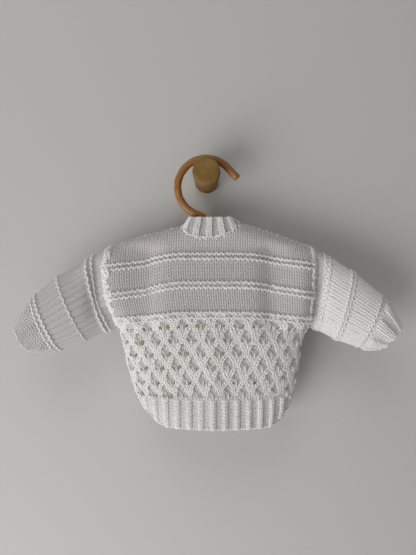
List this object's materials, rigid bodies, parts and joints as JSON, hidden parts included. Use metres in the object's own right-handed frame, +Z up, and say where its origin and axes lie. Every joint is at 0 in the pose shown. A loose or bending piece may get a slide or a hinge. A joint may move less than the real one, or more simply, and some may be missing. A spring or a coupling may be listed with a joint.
{
  "type": "baby cardigan on a hanger and wall knob",
  "caption": "Hand-knitted newborn's cardigan with a ribbed neckband, ridged yoke and lace hem, hung by a ring hook on a round wall knob, its back to the viewer.",
  "frame": {"origin": "centre of the wall knob's flat end, where it meets the wall", "axes": "+Y into the wall, +Z up, +X to the right of a viewer who faces the wall"},
  "size_m": [0.4043, 0.0602, 0.2889],
  "materials": {
    "wool": "knitted, matt and slightly hairy",
    "buttons": "satin",
    "hanger_wood": "varnished",
    "knob_brass": "aged, dull"
  },
  "bodies": {
    "root": {"back": "wool", "left_front": "wool", "right_front": "wool", "left_sleeve": "wool", "right_sleeve": "wool", "neckband": "wool", "button_band": "wool", "buttonhole_band": "wool", "button_1": "buttons", "button_2": "buttons", "button_3": "buttons", "button_4": "buttons", "button_5": "buttons", "hanger_bar": "hanger_wood", "hanger_hook": "hanger_wood", "wall_knob": "knob_brass"}
  },
  "joints": []
}
